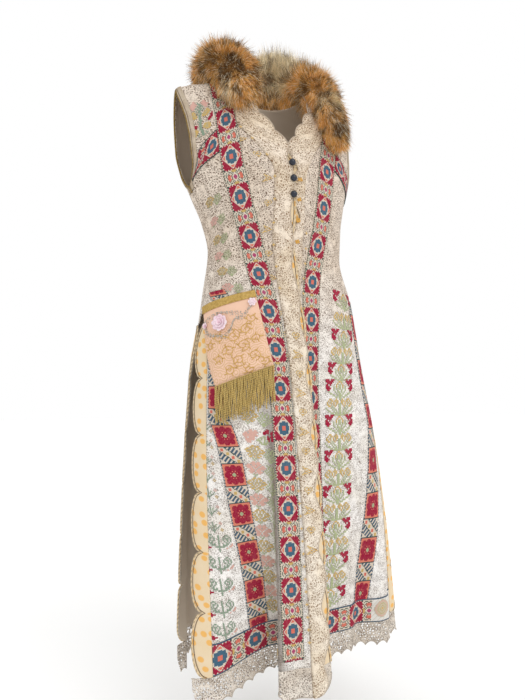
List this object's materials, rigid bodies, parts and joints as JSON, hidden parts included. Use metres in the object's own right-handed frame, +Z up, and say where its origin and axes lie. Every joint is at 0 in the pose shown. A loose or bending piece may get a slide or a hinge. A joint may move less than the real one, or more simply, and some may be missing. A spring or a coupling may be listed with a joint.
{
  "type": "embroidered folk vest",
  "caption": "Ankle-length sleeveless folk coat of lace patchwork with embroidered ribbon bands, scalloped edges, side slits, a fringed brocade pocket and a fur collar, held as worn.",
  "frame": {"origin": "between the shoulders at the height of the neck points of the shoulder seams, where the wearer holds the coat up", "axes": "+Z up along the coat, the front faces -Y, the wearer's right side is at -X"},
  "size_m": [0.5605, 0.3622, 1.4157],
  "materials": {
    "lace_cloth": "pinkish ivory lace patchwork with embroidery",
    "band_ribbon": "crimson, blue, salmon and cream cross-stitch ribbon",
    "edge_facing": "cream cotton with orange-yellow dots, piped",
    "hem_lace": "cutwork lace",
    "pocket_brocade": "peach brocade with gold thread",
    "gold_thread": "metallic gold braid and bullion",
    "fur": "long orange-brown fur with dark tips",
    "button_black": "dark domed buttons"
  },
  "bodies": {
    "root": {"back": "lace_cloth", "front_right": "lace_cloth", "front_left": "lace_cloth", "fur_collar": "fur", "edge_trim_right": "edge_facing", "edge_trim_left": "edge_facing", "slit_trim_front_right": "edge_facing", "slit_trim_front_left": "edge_facing", "slit_trim_back_right": "edge_facing", "slit_trim_back_left": "edge_facing", "armhole_trim_right": "edge_facing", "armhole_trim_left": "edge_facing", "band_front_right": "band_ribbon", "band_front_left": "band_ribbon", "band_yoke_right": "band_ribbon", "band_yoke_left": "band_ribbon", "band_skirt_right": "band_ribbon", "band_skirt_left": "band_ribbon", "band_hem_right": "band_ribbon", "band_hem_left": "band_ribbon", "lace_hem_right": "hem_lace", "lace_hem_left": "hem_lace", "lace_hem_back": "hem_lace", "pocket": "pocket_brocade", "pocket_braid": "gold_thread", "pocket_fringe": "gold_thread", "button_1": "button_black", "button_2": "button_black", "button_3": "button_black"}
  },
  "joints": []
}
